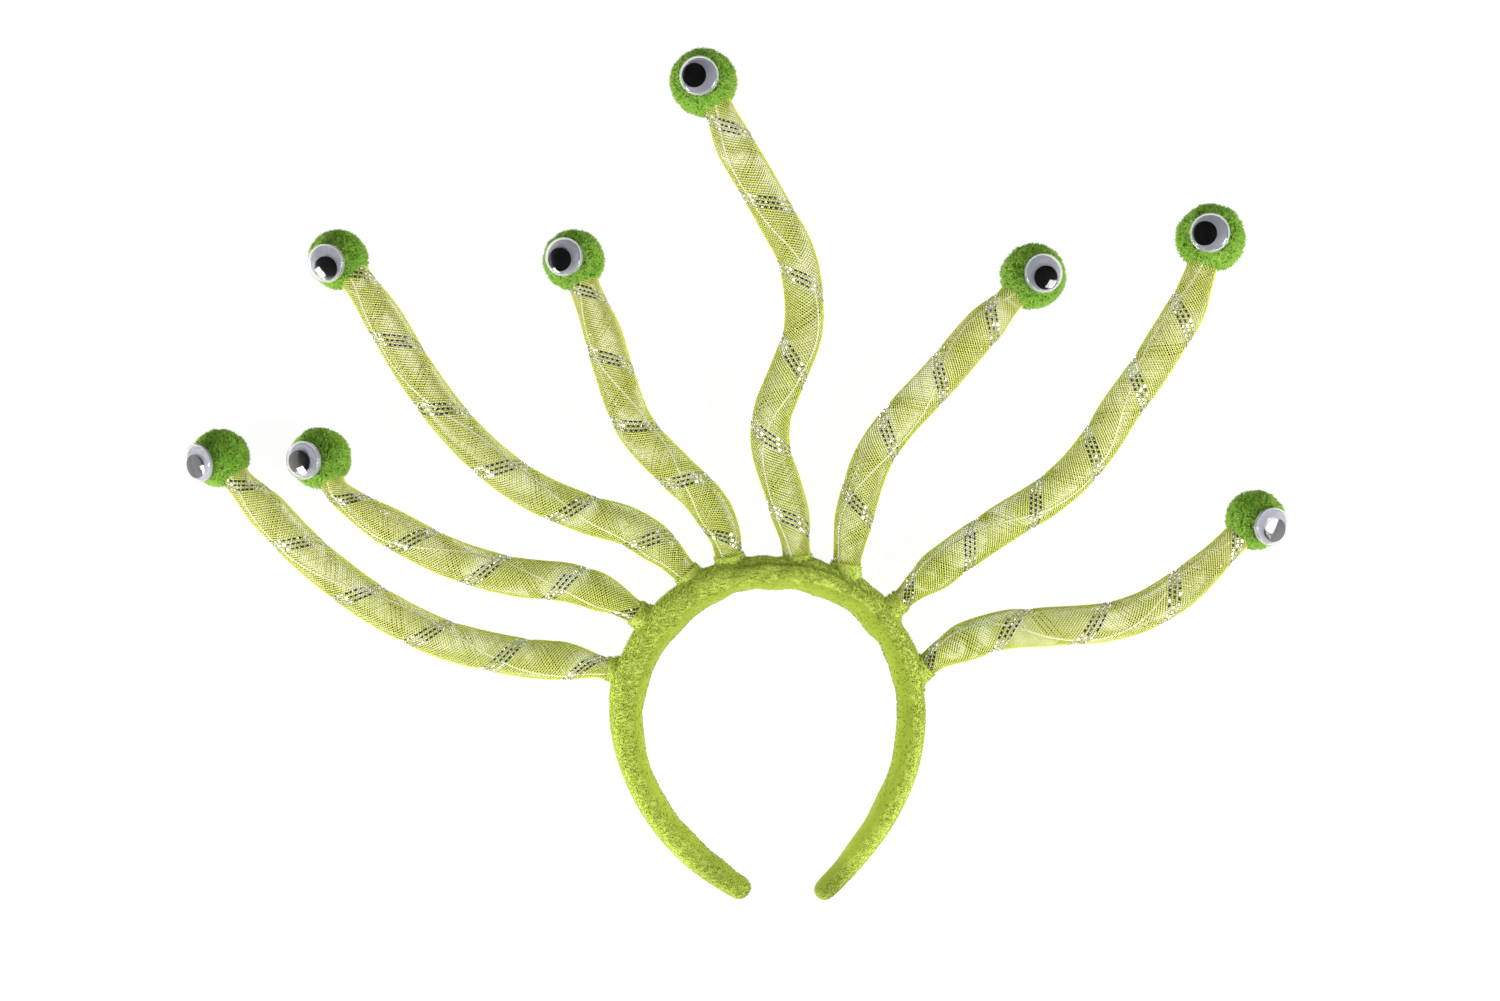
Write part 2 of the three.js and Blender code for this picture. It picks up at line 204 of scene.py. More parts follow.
def fill(tree, socket, value):
    """One input of a node, linked to another socket or set to a value."""
    if isinstance(value, bpy.types.NodeSocket):
        tree.links.new(value, socket)
    else:
        socket.default_value = value


def add_node(tree, kind, inputs, **settings):
    """A node with its settings made and each input either linked or set."""
    made = tree.nodes.new(kind)
    for key, value in settings.items():
        setattr(made, key, value)
    for key, value in inputs.items():
        fill(tree, made.inputs[key], value)
    return made


def set_inputs(tree, shader, **values):
    """A shader's inputs, each linked or set, named with underscores for spaces."""
    for key, value in values.items():
        fill(tree, shader.inputs[key.replace("_", " ")], value)


def attribute(tree, name):
    """The socket of a painted attribute."""
    return add_node(tree, "ShaderNodeAttribute", {}, attribute_name=name).outputs["Fac"]


# A mix node's own numbers for its colour sockets.
MIX_FACTOR, MIX_FIRST, MIX_SECOND, MIX_RESULT = 0, 6, 7, 2


def blend_colours(tree, factor, first, second):
    """The socket of a mix of two colours, each a colour or a socket."""
    ends = {MIX_FACTOR: factor, MIX_FIRST: first, MIX_SECOND: second}
    return add_node(tree, "ShaderNodeMix", ends, data_type="RGBA").outputs[MIX_RESULT]


def spread(tree, value, low, high):
    """A socket stretched so that low becomes 0 and high becomes 1."""
    ends = {"Value": value, "From Min": low, "From Max": high}
    return add_node(tree, "ShaderNodeMapRange", ends).outputs["Result"]


def patches(tree, size, low, high):
    """The socket of a noise in patches of about the given size, spread between low and high."""
    place = add_node(tree, "ShaderNodeTexCoord", {}).outputs["Object"]
    grain = {"Vector": place, "Scale": 1 / size}
    return spread(tree, add_node(tree, "ShaderNodeTexNoise", grain).outputs["Fac"], low, high)


def plush_finish():
    finish, tree, shader = new_finish("lime_plush")
    flecks = patches(tree, FLECK_SIZE, 0.38, 0.58)
    shade = patches(tree, SHADE_SIZE, 0.35, 0.65)
    legs = attribute(tree, "legs")
    dark_flecks = blend_colours(tree, legs, tint(182, 203, 80), tint(180, 201, 78))
    light_flecks = blend_colours(tree, legs, tint(214, 228, 110), tint(200, 216, 96))
    standing = blend_colours(tree, flecks, dark_flecks, light_flecks)
    outer = blend_colours(tree, shade, tint(198, 215, 90), tint(208, 223, 100))
    # Painted shade: the smooth inner side is coloured darker round the top, and darker still down the right
    # leg.
    inner_left = blend_colours(tree, shade, tint(162, 182, 58), tint(172, 191, 64))
    shaded_inner_top = blend_colours(tree, shade, tint(150, 168, 56), tint(160, 177, 62))
    inner_left = blend_colours(tree, legs, shaded_inner_top, inner_left)
    shaded_inner_right = blend_colours(tree, shade, tint(147, 168, 50), tint(157, 177, 56))
    inner = blend_colours(tree, attribute(tree, "right"), inner_left, shaded_inner_right)
    plain = blend_colours(tree, attribute(tree, "outer"), standing, outer)
    plain = blend_colours(tree, attribute(tree, "inner"), plain, inner)
    # Painted shade: the band's tips, the right one most, are coloured darker for the shade they lie in.
    plain = blend_colours(tree, attribute(tree, "tips"), plain, tint(128, 148, 52))
    # Painted shade: the seam's groove is coloured a darker green for the shadow that falls in it.
    seam_shaded = blend_colours(tree, attribute(tree, "seam"), plain, tint(140, 168, 58))
    set_inputs(tree, shader, Base_Color=seam_shaded, Roughness=0.85, Specular_IOR_Level=0.2)
    set_inputs(tree, shader, Sheen_Weight=0.25, Sheen_Roughness=0.4, Sheen_Tint=tint(225, 240, 150))
    return finish


def round_the_band(points, normals):
    """For places on the band: the ways out from its centre and along it, and turn and lean in degrees."""
    out = points - BAND_CENTRE
    out[:, 2] = 0
    out = unit(out)
    along = np.cross([0, 0, 1], out)
    turn = np.degrees(np.arctan2(out[:, 1], out[:, 0]))
    outward = (normals * out).sum(axis=1)
    lean = np.degrees(np.arctan2(normals[:, 2], outward))
    return out, along, turn, lean


def on_legs(turn):
    """1 on the band's legs, 0 round its top."""
    return 1 - ease(np.sin(np.radians(turn)), LEGS_END, LUMPS_START)


def seam_share(turn, lean):
    """1 in the seam's groove, 0 away from it."""
    begins = ease(turn, SEAM_FROM_DEG, SEAM_FROM_DEG + SEAM_FADE_DEG)
    ends = ease(turn, SEAM_TO_DEG - SEAM_FADE_DEG, SEAM_TO_DEG)
    faint = (1 - SEAM_FAINT) * ease(turn, FAINT_FROM_DEG, FAINT_TO_DEG)
    across = np.exp(-(((lean - SEAM_LEAN_DEG) / SEAM_WIDTH_DEG) ** 2))
    return begins * (1 - ends) * (1 - faint) * across


def plush_zones(points, normals):
    """For places on the band: how far each belongs to each zone of the plush, from 0 to 1."""
    out, _, turn, lean = round_the_band(points, normals)
    inward = -(normals * out).sum(axis=1)
    stray = EDGE_STRAY * mottle(points, CLUMP_SIZE, EDGE_SEED)
    # How far a place lies to the right: this widens the smooth side and deepens the painted shade on the
    # inner side and the tip.
    right = np.maximum(out[:, 0], 0)
    inner_edge = INNER_EDGE - INNER_WIDER * right
    legs = on_legs(turn)
    return {
        "inner": ease(inward + stray, inner_edge, inner_edge + EDGE_FADE),
        "outer": ease(stray - inward, OUTER_EDGE, OUTER_EDGE + EDGE_FADE) * legs,
        "seam": seam_share(turn, lean),
        "legs": legs,
        "right": right,
        "tips": (TIP_SHADE + RIGHT_TIP_SHADE * right) * ease(-out[:, 1], TIPS_FROM, TIPS_TO),
    }


def cover_mesh():
    form = bmesh.new()
    form.from_mesh(frame["nodes"]["plush_band"].data)
    bmesh.ops.remove_doubles(form, verts=form.verts, dist=WELD_WITHIN)
    bmesh.ops.join_triangles(
        form,
        faces=form.faces,
        angle_face_threshold=math.radians(JOIN_FACE_DEG),
        angle_shape_threshold=math.radians(JOIN_SHAPE_DEG),
    )
    rough = bpy.data.meshes.new("cover_form")
    form.to_mesh(rough)
    form.free()
    shaped = bpy.data.objects.new("cover_form", rough)
    bpy.context.scene.collection.objects.link(shaped)
    smoothing = shaped.modifiers.new("smooth", "SUBSURF")
    smoothing.levels = smoothing.render_levels = COVER_SMOOTHING
    view = bpy.context.evaluated_depsgraph_get()
    mesh = bpy.data.meshes.new_from_object(shaped.evaluated_get(view))
    bpy.data.objects.remove(shaped)
    points, normals = vertex_arrays(mesh)
    zones = plush_zones(points, normals)
    for name, values in zones.items():
        paint(mesh, name, values)
    lumps = COVER_LUMP * mottle(points, LUMP_SIZE, LUMP_SEED) * (1 - zones["legs"])
    rise = lumps - COVER_INSET - SEAM_DEPTH * zones["seam"]
    points += normals * rise[:, None]
    clear_floor(points)
    mesh.vertices.foreach_set("co", points.astype(np.float32).ravel())
    mesh.update()
    mesh.shade_smooth()
    mesh.name = "band_cover"
    return mesh


def pile_mesh(cover):
    draw = np.random.default_rng(PILE_SEED)
    roots, facing = scatter(cover, PILE_FIBRES, draw)
    zones = plush_zones(roots, facing)
    kept = draw.uniform(size=PILE_FIBRES) > SMOOTH_BARE * zones["inner"]
    roots, facing = roots[kept], facing[kept]
    zones = {name: values[kept] for name, values in zones.items()}
    _, along, _, _ = round_the_band(roots, facing)
    brushed = np.maximum(zones["inner"] + zones["outer"], LEGS_BRUSHED * zones["legs"])[:, None]
    ahead, aside = (mottle(roots, CLUMP_SIZE, seed)[:, None] for seed in CLUMP_SEEDS)
    sway = ahead * along + aside * np.cross(facing, along)
    loose = draw.normal(size=roots.shape)
    standing = unit(facing + PILE_SWAY * sway + PILE_LEAN * along + PILE_STRAY * loose)
    flat = unit(BRUSHED_RISE * facing + along + BRUSHED_STRAY * loose)
    way = unit(standing * (1 - brushed) + flat * brushed)
    length = STANDING_LENGTH * (1 - brushed) + BRUSHED_LENGTH * brushed
    length *= draw.uniform(SHORTEST, LONGEST, (len(roots), 1))
    length *= 1 - SEAM_CROPPED * zones["seam"][:, None]
    mesh = fibres("band_pile", roots, roots + way * length, PILE_RADIUS, draw)
    for name, values in zones.items():
        paint(mesh, name, np.repeat(values, SPIKE_POINTS))
    return mesh


plush = plush_finish()
band_cover = placed("band_cover", cover_mesh(), plush, "headband")
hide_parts("plush_band")
placed("band_pile", pile_mesh(band_cover.data), plush, "headband")

# Net sleeves
# Each stalk is a sleeve of braided nylon net, lime and a little translucent, with three strands of tinsel
# braided in. Its foot is pushed into the band's seam and its neck into a pompom.

# All in mm. route: the sleeve's middle, from the band out. pompom, foot, neck: sizes across. taper: the
# length that narrows to the neck. tinsel: where, along the route, the tinsel crosses the sleeve's top.
# pitch: the length of one turn of the braid.
STALKS = [
    {
        "pompom": 28.2, "foot": 10.5, "neck": 13.2, "taper": 20, "tinsel": 9.7, "pitch": 37.5,
        "route": [
            (-61, -87.5, 12), (-75, -85, 13), (-103.5, -82, 14), (-139, -73, 15), (-171.5, -56, 15),
            (-201, -33, 15), (-220.5, -13, 14.5), (-233, 0, 14),
        ],
    },
    {
        "pompom": 29.6, "foot": 11.5, "neck": 11.8, "taper": 38, "tinsel": 36.3, "pitch": 36.8,
        "route": [
            (-47.5, -61, 12.5), (-58, -54.5, 13.5), (-75, -48, 15), (-103, -44.5, 17), (-130, -37, 18),
            (-155, -25, 17), (-171.5, -15.5, 16), (-187, -4, 15),
        ],
    },
    {
        "pompom": 28.7, "foot": 12, "neck": 15, "taper": 25, "tinsel": 22.9, "pitch": 38.7,
        "route": [
            (-24, -42, 12.5), (-34, -31.5, 14), (-50, -21, 16), (-68, -15.5, 18), (-93, -5, 19),
            (-114.5, 10, 19), (-134, 30, 18), (-150.5, 52.5, 16.5), (-165, 76.5, 15), (-176, 93, 14.5),
        ],
    },
    {
        "pompom": 29.6, "foot": 13.3, "neck": 14.6, "taper": 28, "tinsel": 8.5, "pitch": 33.5,
        "route": [
            (-3, -33.5, 12.5), (-5, -24.5, 13.5), (-14.5, -8, 15), (-28, 5, 17), (-47, 26.5, 18),
            (-57, 53, 17), (-62.5, 71, 16), (-70, 90, 15),
        ],
    },
    {
        "pompom": 31.8, "foot": 13, "neck": 14.1, "taper": 18, "tinsel": 16.8, "pitch": 38.8,
        "route": [
            (29, -33.5, 12.5), (27.5, -22, 13.5), (22.5, -3, 15), (17, 15, 17), (17, 30, 18.5),
            (25, 51, 21), (31.5, 69, 23), (32, 87.5, 25), (28, 106, 27), (19.5, 122, 29.5),
            (10.5, 137.5, 32), (1, 153.5, 34.5), (-6.8, 170.3, 35.5),
        ],
    },
    {
        "pompom": 31.1, "foot": 13.5, "neck": 13.2, "taper": 18, "tinsel": 27, "pitch": 36,
        "route": [
            (52.5, -37, 12.5), (54.5, -25, 13.5), (58.5, -6.5, 15), (65, 11.5, 17), (75.5, 27, 19),
            (94.5, 47.5, 22.5), (112, 68, 25.5), (127, 84, 27.5),
        ],
    },
    {
        "pompom": 32.6, "foot": 10, "neck": 14.1, "taper": 22, "tinsel": 3.6, "pitch": 36.6,
        "route": [
            (79, -55, 12.5), (86, -48.5, 13), (98, -39, 15), (113, -28, 17), (128, -18, 19),
            (144, -8, 22), (158, 4, 25), (169, 18, 28), (178.5, 33.5, 31), (189, 48.5, 34),
            (198.5, 64, 37), (207.5, 79.5, 39), (214, 97, 40),
        ],
    },
    {
        "pompom": 28.7, "foot": 11, "neck": 13.2, "taper": 38, "tinsel": 0.3, "pitch": 39.9,
        "route": [
            (91, -85.5, 12), (97, -81, 13), (108.5, -75, 15), (126.5, -69.5, 16.5), (145.5, -68, 17),
            (172.5, -66, 17), (191, -61, 16.5), (206, -52.5, 16), (220, -41.5, 15), (234, -28, 14.5),
        ],
    },
]
NET_ACROSS = 18.4 * MM
FOOT_TAPER = 22 * MM
SOCKET_DEPTH = 5 * MM
HIDDEN_FOOT = 8 * MM
ROOT_REACH = 1.2
EYE_SINK = 2.4 * MM
LINE_STEP = 0.5 * MM
SPLINE_SAMPLES = 60
BRAID_STRANDS = 28
STRAND_TURN = 2 * math.pi / BRAID_STRANDS
BRAID_STEP = 1.5 * MM
STRAND_WIDTH, STRAND_THICK = 0.46 * MM, 0.26 * MM
STRAND_STRAY, NET_SEED = 0.08, 30
PLY_DROP, PLY_SHIFT = 0.3 * MM, 0.25
TINSEL_STRIPS, TINSEL_EVERY = 3, 2
TINSEL_PLACES = TINSEL_EVERY * (np.arange(TINSEL_STRIPS) - TINSEL_STRIPS // 2)
TINSEL_PULL, PULL_SPREAD = 0.6 * MM, 1.3


def centripetal(rows, step):
    """Evenly spaced points on the centripetal Catmull-Rom spline through rows."""
    rows = np.asarray(rows, float)
    ends = np.vstack([2 * rows[0] - rows[1], rows, 2 * rows[-1] - rows[-2]])
    share = np.linspace(0, 1, SPLINE_SAMPLES, endpoint=False)[:, None]
    dense = []
    for p0, p1, p2, p3 in zip(ends, ends[1:], ends[2:], ends[3:]):
        t0, t1, t2 = (math.sqrt(np.linalg.norm(b - a)) for a, b in ((p0, p1), (p1, p2), (p2, p3)))
        leave = ((p1 - p0) / t0 - (p2 - p0) / (t0 + t1) + (p2 - p1) / t1) * t1
        reach = ((p2 - p1) / t1 - (p3 - p1) / (t1 + t2) + (p3 - p2) / t2) * t1
        square = -3 * p1 + 3 * p2 - 2 * leave - reach
        cube = 2 * p1 - 2 * p2 + leave + reach
        dense.append(p1 + leave * share + square * share**2 + cube * share**3)
    dense = np.vstack([*dense, rows[-1:]])
    far = np.concatenate([[0], np.cumsum(np.linalg.norm(np.diff(dense, axis=0), axis=1))])
    even = np.linspace(0, far[-1], round(far[-1] / step) + 1)
    return np.stack([np.interp(even, far, dense[:, k]) for k in range(3)], axis=1), even


def carried_frames(points):
    """For points on a line: the ways ahead, to its left and down, turning as little as can be."""
    ahead = unit(np.gradient(points, axis=0))
    down = np.empty_like(ahead)
    down[0] = [0, 0, -1]
    for i in range(len(ahead)):
        last = down[max(i - 1, 0)]
        down[i] = last - ahead[i] * (last @ ahead[i])
        down[i] /= np.linalg.norm(down[i])
    return ahead, np.cross(ahead, down), down


class StalkLine:
    """A stalk's middle line with its frames, and the sleeve's radius along it."""

    def __init__(self, number, row):
        joint = next(j for j in frame["joints"] if j["child"] == f"pupil_{number}")
        self.number = number
        self.eye = np.array(joint["pos_m"])
        self.facing = unit(np.array(joint["axis"]))
        self.ball_radius = row["pompom"] / 2 * MM
        self.ball = self.eye - self.facing * (self.ball_radius - EYE_SINK)
        rows = np.array(row["route"]) * MM
        root = rows[0] + ROOT_REACH * (rows[0] - rows[1])
        self.inward = unit(rows[-1] - self.ball)
        seat = self.ball + self.inward * (self.ball_radius - SOCKET_DEPTH)
        self.points, self.far = centripetal([root, *rows, seat], LINE_STEP)
        self.ahead, self.left, self.down = carried_frames(self.points)
        self.length = self.far[-1]
        self.root_length = np.linalg.norm(rows[0] - root)
        self.start = self.root_length - HIDDEN_FOOT
        self.foot, self.neck, self.taper = (row[key] * MM for key in ("foot", "neck", "taper"))
        self.tinsel_at = self.root_length + row["tinsel"] * MM
        self.pitch = row["pitch"] * MM

    def at(self, far, values):
        """Values along the line, taken at the given distances."""
        columns = [np.interp(far, self.far, values[:, k]) for k in range(3)]
        return np.stack(columns, axis=-1)

    def radius(self, far):
        """The sleeve's radius at the given distances."""
        from_band = ease(far - self.root_length, 0, FOOT_TAPER)
        from_ball = ease(self.length - far - SOCKET_DEPTH, 0, self.taper)
        at_foot = self.foot + (NET_ACROSS - self.foot) * from_band
        at_neck = self.neck + (NET_ACROSS - self.neck) * from_ball
        return np.minimum(at_foot, at_neck) / 2

    def on_sleeve(self, far, turn, rise):
        """Places on the sleeve at a distance and a turn from its left side, and the way out there."""
        leftward = np.cos(turn)[..., None] * self.at(far, self.left)
        out = leftward + np.sin(turn)[..., None] * self.at(far, self.down)
        radius = self.radius(far) + rise - TINSEL_PULL * self.pulled_in(far, turn)
        return self.at(far, self.points) + out * radius[..., None], out

    def tinsel_turn(self, far):
        """The turn of the tinsel's middle strip at a distance."""
        return -math.pi / 2 + 2 * math.pi * (far - self.tinsel_at) / self.pitch

    def pulled_in(self, far, turn):
        """1 under the tinsel, which draws the net tight, and 0 away from it."""
        apart = (turn - self.tinsel_turn(far) + math.pi) % (2 * math.pi) - math.pi
        half_group = TINSEL_EVERY * STRAND_TURN
        return np.exp(-((apart / (PULL_SPREAD * half_group)) ** 2))


def swept(name, centres, out, section):
    """Closed strands of one section: centres and out are arrays of strands, steps and x, y, z."""
    ahead = unit(np.gradient(centres, axis=1))
    across = unit(np.cross(ahead, out))
    above = np.cross(across, ahead)
    rings = [centres + side * across + rise * above for side, rise in section]
    points = np.stack(rings, axis=2)
    strands, steps, corners, _ = points.shape
    index = np.arange(strands * steps * corners).reshape(strands, steps, corners)
    following = np.roll(index, -1, axis=2)
    walls = np.stack([following[:, :-1], index[:, :-1], index[:, 1:], following[:, 1:]], axis=-1)
    caps = np.concatenate([index[:, 0], index[:, -1, ::-1]])
    return joined_mesh(name, points.reshape(-1, 3), walls.reshape(-1, 4), caps)


def net_mesh(line):
    steps = round((line.length - line.start) / BRAID_STEP)
    far = np.linspace(line.start, line.length, steps + 1)
    draw = np.random.default_rng(NET_SEED + line.number)
    every = np.arange(BRAID_STRANDS)
    plain = np.delete(every, TINSEL_PLACES % BRAID_STRANDS)
    centres, out = [], []
    for strands, hand, rise in ((plain, 1, 0.0), (every + PLY_SHIFT, -1, -PLY_DROP)):
        places = strands + draw.uniform(-STRAND_STRAY, STRAND_STRAY, len(strands))
        turns = hand * line.tinsel_turn(far) + STRAND_TURN * places[:, None]
        place, way = line.on_sleeve(np.broadcast_to(far, turns.shape), turns, rise)
        centres.append(place)
        out.append(way)
    half, low = STRAND_WIDTH / 2, STRAND_THICK / 2
    section = [(-half, -low), (half, -low), (0, low)]
    mesh = swept(f"net_sleeve_{line.number}", np.concatenate(centres), np.concatenate(out), section)
    strands = 2 * BRAID_STRANDS - TINSEL_STRIPS
    share = (far - far[0]) / (far[-1] - far[0])
    paint(mesh, "along", np.tile(np.repeat(share, len(section)), strands))
    # The crest share lets the finish paint each strand's underside with shade.
    paint(mesh, "crest", np.tile([0, 0, 1], strands * len(far)))
    return mesh


def net_finish():
    finish, tree, shader = new_finish("lime_net")
    along = attribute(tree, "along")
    tone = patches(tree, 20 * MM, 0.35, 0.65)
    at_band = blend_colours(tree, tone, tint(223, 236, 96), tint(231, 240, 110))
    at_pompom = blend_colours(tree, tone, tint(236, 240, 122), tint(244, 245, 138))
    crests = blend_colours(tree, along, at_band, at_pompom)
    # Painted shade: each strand's underside, which faces into the sleeve, is coloured dark for the shade in
    # there. The crest keeps the net's own colour.
    edges = blend_colours(tree, along, tint(140, 152, 72), tint(176, 181, 96))
    crest = spread(tree, attribute(tree, "crest"), 0, 0.5)
    set_inputs(tree, shader, Base_Color=blend_colours(tree, crest, edges, crests))
    set_inputs(tree, shader, Roughness=patches(tree, 2 * MM, -2.0, 1.2), Specular_IOR_Level=0.1)
    set_inputs(tree, shader, Subsurface_Weight=0.5, Subsurface_Radius=(1, 1, 1), Subsurface_Scale=0.4 * MM)
    return finish


lines = [StalkLine(number, row) for number, row in enumerate(STALKS, start=1)]
lime_net = net_finish()
for line in lines:
    sleeve = placed(f"net_sleeve_{line.number}", net_mesh(line), lime_net, "headband")
    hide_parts(f"stalk_net_{line.number}")

# Plush at the feet
# Where a sleeve is pushed through the band's seam, the plush is drawn a few millimetres up it. So each foot
# has a short collar of the same cloth, whose pile leans out along the stalk.
COLLAR_FROM, COLLAR_TO = -11 * MM, -1 * MM
COLLAR_FLARE, COLLAR_GAP, COLLAR_INSIDE = 4 * MM, 0.4 * MM, -0.3 * MM
COLLAR_CURVE = 2.5
COLLAR_RINGS, COLLAR_SIDES = 8, 32
COLLAR_FIBRES, COLLAR_SEED = 1200, 100
COLLAR_LEAN = 0.6


def collar_mesh(line):
    share = np.linspace(0, 1, COLLAR_RINGS)
    outside = COLLAR_GAP + COLLAR_FLARE * (1 - share) ** COLLAR_CURVE
    share = np.concatenate([share, share[::-1]])[:, None]
    rise = np.concatenate([outside, np.full(COLLAR_RINGS, COLLAR_INSIDE)])[:, None]
    turn = 2 * math.pi * np.arange(COLLAR_SIDES) / COLLAR_SIDES + np.zeros_like(rise)
    far = line.root_length + COLLAR_FROM + (COLLAR_TO - COLLAR_FROM) * share + np.zeros_like(turn)
    points, _ = line.on_sleeve(far, turn, rise)
    index = np.arange(turn.size).reshape(turn.shape)
    beside = np.roll(index, -1, axis=1)
    faces = np.stack([index, beside, np.roll(beside, -1, axis=0), np.roll(index, -1, axis=0)], axis=-1)
    mesh = joined_mesh(f"foot_plush_{line.number}", points.reshape(-1, 3), faces.reshape(-1, 4))
    form = bmesh.new()
    form.from_mesh(mesh)
    bmesh.ops.recalc_face_normals(form, faces=form.faces)
    form.to_mesh(mesh)
    form.free()
    return mesh


def collar_pile_mesh(line, collar):
    draw = np.random.default_rng(COLLAR_SEED + line.number)
    roots, facing = scatter(collar, COLLAR_FIBRES, draw)
    middle = line.at(np.full(len(roots), line.root_length), line.points)
    ahead = line.at(np.full(len(roots), line.root_length), line.ahead)
    spoke = roots - middle
    spoke -= ahead * (spoke * ahead).sum(axis=1)[:, None]
    outside = (spoke * facing).sum(axis=1) > 0
    way = unit(facing + COLLAR_LEAN * ahead + PILE_STRAY * draw.normal(size=roots.shape))
    tips = roots + way * STANDING_LENGTH * draw.uniform(SHORTEST, LONGEST, (len(roots), 1))
    return fibres(f"foot_pile_{line.number}", roots[outside], tips[outside], PILE_RADIUS, draw)


for line in lines:
    collar = placed(f"foot_plush_{line.number}", collar_mesh(line), plush, "headband")
    placed(f"foot_pile_{line.number}", collar_pile_mesh(line, collar.data), plush, "headband")

# Tinsel
# Three flat silver strips wind round each sleeve in the place of net strands, over one crossing strand and
# under the next, so they show as rows of short dashes, dark or bright. The stretches inside the net are
# only made on its underside. They are painted dark as the net's shade and show through the top as dull rows
# that lean the other way.
TINSEL_WIDTH, TINSEL_THICK = 0.85 * MM, 0.14 * MM
TINSEL_TILT, TINSEL_SEED = 0.14, 80
TINSEL_DASHES = [
    {"at": (-0.3, -0.25, 0.25, 0.3), "rise": (-0.3, 0.16, 0.16, -0.3), "lowest_only": False},
    {"at": (0.3, 0.36, 0.64, 0.7), "rise": (-0.3, -0.62, -0.62, -0.3), "lowest_only": True},
]


def tinsel_mesh(line):
    draw = np.random.default_rng(TINSEL_SEED + line.number)
    step = line.pitch / BRAID_STRANDS
    first, last = ((end - line.tinsel_at) / step for end in (line.start, line.length))
    dashes = np.arange(math.ceil(first) + 1, math.floor(last)) + PLY_SHIFT / 2
    offsets = np.repeat(STRAND_TURN * TINSEL_PLACES, len(dashes))[:, None]
    centres, out, inside = [], [], []
    for row in TINSEL_DASHES:
        one_strip = line.tinsel_at + step * (dashes[:, None] + np.array(row["at"]))
        far = np.tile(one_strip, (TINSEL_STRIPS, 1))
        turns = line.tinsel_turn(far) + offsets
        if row["lowest_only"]:
            underneath = np.sin(turns[:, 0]) > 0
            far, turns = far[underneath], turns[underneath]
        place, way = line.on_sleeve(far, turns, np.array(row["rise"]) * MM)
        centres.append(place)
        out.append(unit(way + draw.normal(0, TINSEL_TILT, (len(far), 1, 3))))
        inside.append(np.full(place[..., 0].size, row["lowest_only"]))
    half, low = TINSEL_WIDTH / 2, TINSEL_THICK / 2
    section = [(-half, -low), (half, -low), (half, low), (-half, low)]
    mesh = swept(f"tinsel_{line.number}", np.concatenate(centres), np.concatenate(out), section)
    mesh.shade_flat()
    paint(mesh, "inside", np.repeat(np.concatenate(inside), len(section)))
    return mesh


def tinsel_finish():
    finish, tree, shader = new_finish("silver_tinsel")
    tone = patches(tree, 4 * MM, 0.3, 0.7)
    # Painted shade: strips turned edge-on at the sleeve's sides are coloured toward dark olive, which dims
    # their reflections there.
    edge_on_shade = add_node(tree, "ShaderNodeLayerWeight", {"Blend": 0.5}).outputs["Facing"]
    silver = blend_colours(tree, tone, tint(226, 226, 220), tint(246, 246, 244))
    silver = blend_colours(tree, spread(tree, edge_on_shade, 0.3, 0.7), silver, tint(104, 106, 84))
    # Painted shade: the stretches inside the net are coloured near black for the net's shade over them.
    inside_shaded = blend_colours(tree, attribute(tree, "inside"), silver, tint(52, 54, 34))
    set_inputs(tree, shader, Base_Color=inside_shaded, Roughness=patches(tree, 1.5 * MM, -0.4, 8), Metallic=1.0)
    return finish


silver = tinsel_finish()
for line in lines:
    placed(f"tinsel_{line.number}", tinsel_mesh(line), silver, "headband")

# Stalk wires
# A steel wire with a pale coat runs through each sleeve from the band to the pompom and keeps the stalk's
# bends. It wanders from side to side just under the top of the net, where it shows as a fine bright line.
WIRE_ACROSS = 1.2 * MM
WIRE_SIDES, WIRE_STEP = 8, 3 * MM
WIRE_SWING = math.radians(50)
WIRE_WAVES = 1.5
WIRE_BELOW = 0.12 * MM


def wire_mesh(line):
    steps = round((line.length - line.start) / WIRE_STEP)
    far = np.linspace(line.start, line.length, steps + 1)
    swing = WIRE_SWING * np.sin(2 * math.pi * WIRE_WAVES * far / line.length)
    turn = swing - math.pi / 2
    centres, out = line.on_sleeve(far, turn, -WIRE_BELOW - WIRE_ACROSS / 2)
    ring = 2 * math.pi * np.arange(WIRE_SIDES) / WIRE_SIDES
    section = [(WIRE_ACROSS / 2 * math.cos(a), WIRE_ACROSS / 2 * math.sin(a)) for a in ring]
    return swept(f"core_wire_{line.number}", centres[None], out[None], section)


def wire_finish():
    finish, tree, shader = new_finish("steel_wire")
    tone = patches(tree, 5 * MM, 0.3, 0.7)
    pale = blend_colours(tree, tone, tint(232, 234, 226), tint(246, 247, 242))
    set_inputs(tree, shader, Base_Color=pale, Roughness=patches(tree, 2 * MM, -0.4, 2.2))
    return finish


steel = wire_finish()
for line in lines:
    wire = placed(f"core_wire_{line.number}", wire_mesh(line), steel, "headband")
    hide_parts(f"stalk_wire_{line.number}")

# Pompoms
# A ball of soft green yarn, cut to a round, with the stalk pushed into one side and an eye glued into a
# dent on another. The yarn's ends stand out from a dense middle in small clumps.
CORE_FINENESS = 4
CORE_LUMP, CORE_LUMP_SIZE, CORE_SEED = 0.4 * MM, 3 * MM, 21
YARN_DEPTH, YARN_BURIED = 1.7 * MM, 0.5 * MM
YARN_ENDS, YARN_SEED = 6500, 40
YARN_RADIUS = 0.66 * MM
YARN_STRAY = 0.1
YARN_CLUMP, YARN_CLUMP_SEED = 4 * MM, 60
YARN_UNEVEN, CLUMP_UNEVEN, END_UNEVEN = 0.06, 0.5, 0.4
UNEVEN_DROP, UNEVEN_LEAST, UNEVEN_MOST = 0.6, -1, 0.6
EYE_MARGIN, NECK_OVERLAP = 0.02, 0.6 * MM
EYE_ACROSS = 18 * MM
DENT_GAP = 0.2 * MM


